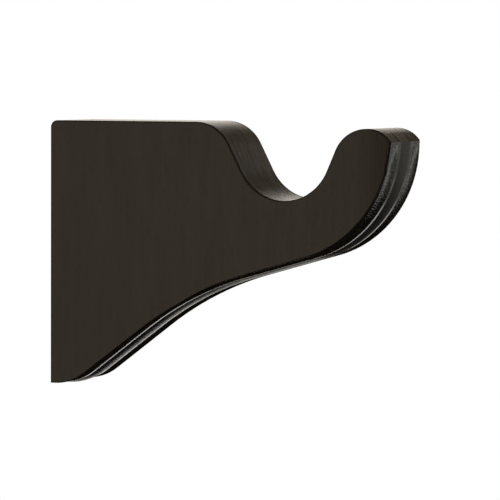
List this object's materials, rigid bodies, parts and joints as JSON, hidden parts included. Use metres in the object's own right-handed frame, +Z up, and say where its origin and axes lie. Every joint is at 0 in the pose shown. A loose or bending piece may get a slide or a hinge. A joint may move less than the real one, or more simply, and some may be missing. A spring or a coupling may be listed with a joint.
{
  "type": "return bracket",
  "caption": "Wooden curtain-pole bracket sawn to a swan-neck outline: flat wall end, round open cradle for the pole behind a raised tip, beaded moulding along the front edge.",
  "frame": {"origin": "middle of the flat face that sits on the wall", "axes": "+X straight out from the wall towards the pole, +Z up, Y across the stock along the pole"},
  "size_m": [0.1302, 0.028, 0.094],
  "materials": {
    "stained_hardwood": "dark espresso stain under satin lacquer"
  },
  "bodies": {
    "root": {"bracket_body": "stained_hardwood"}
  },
  "joints": []
}
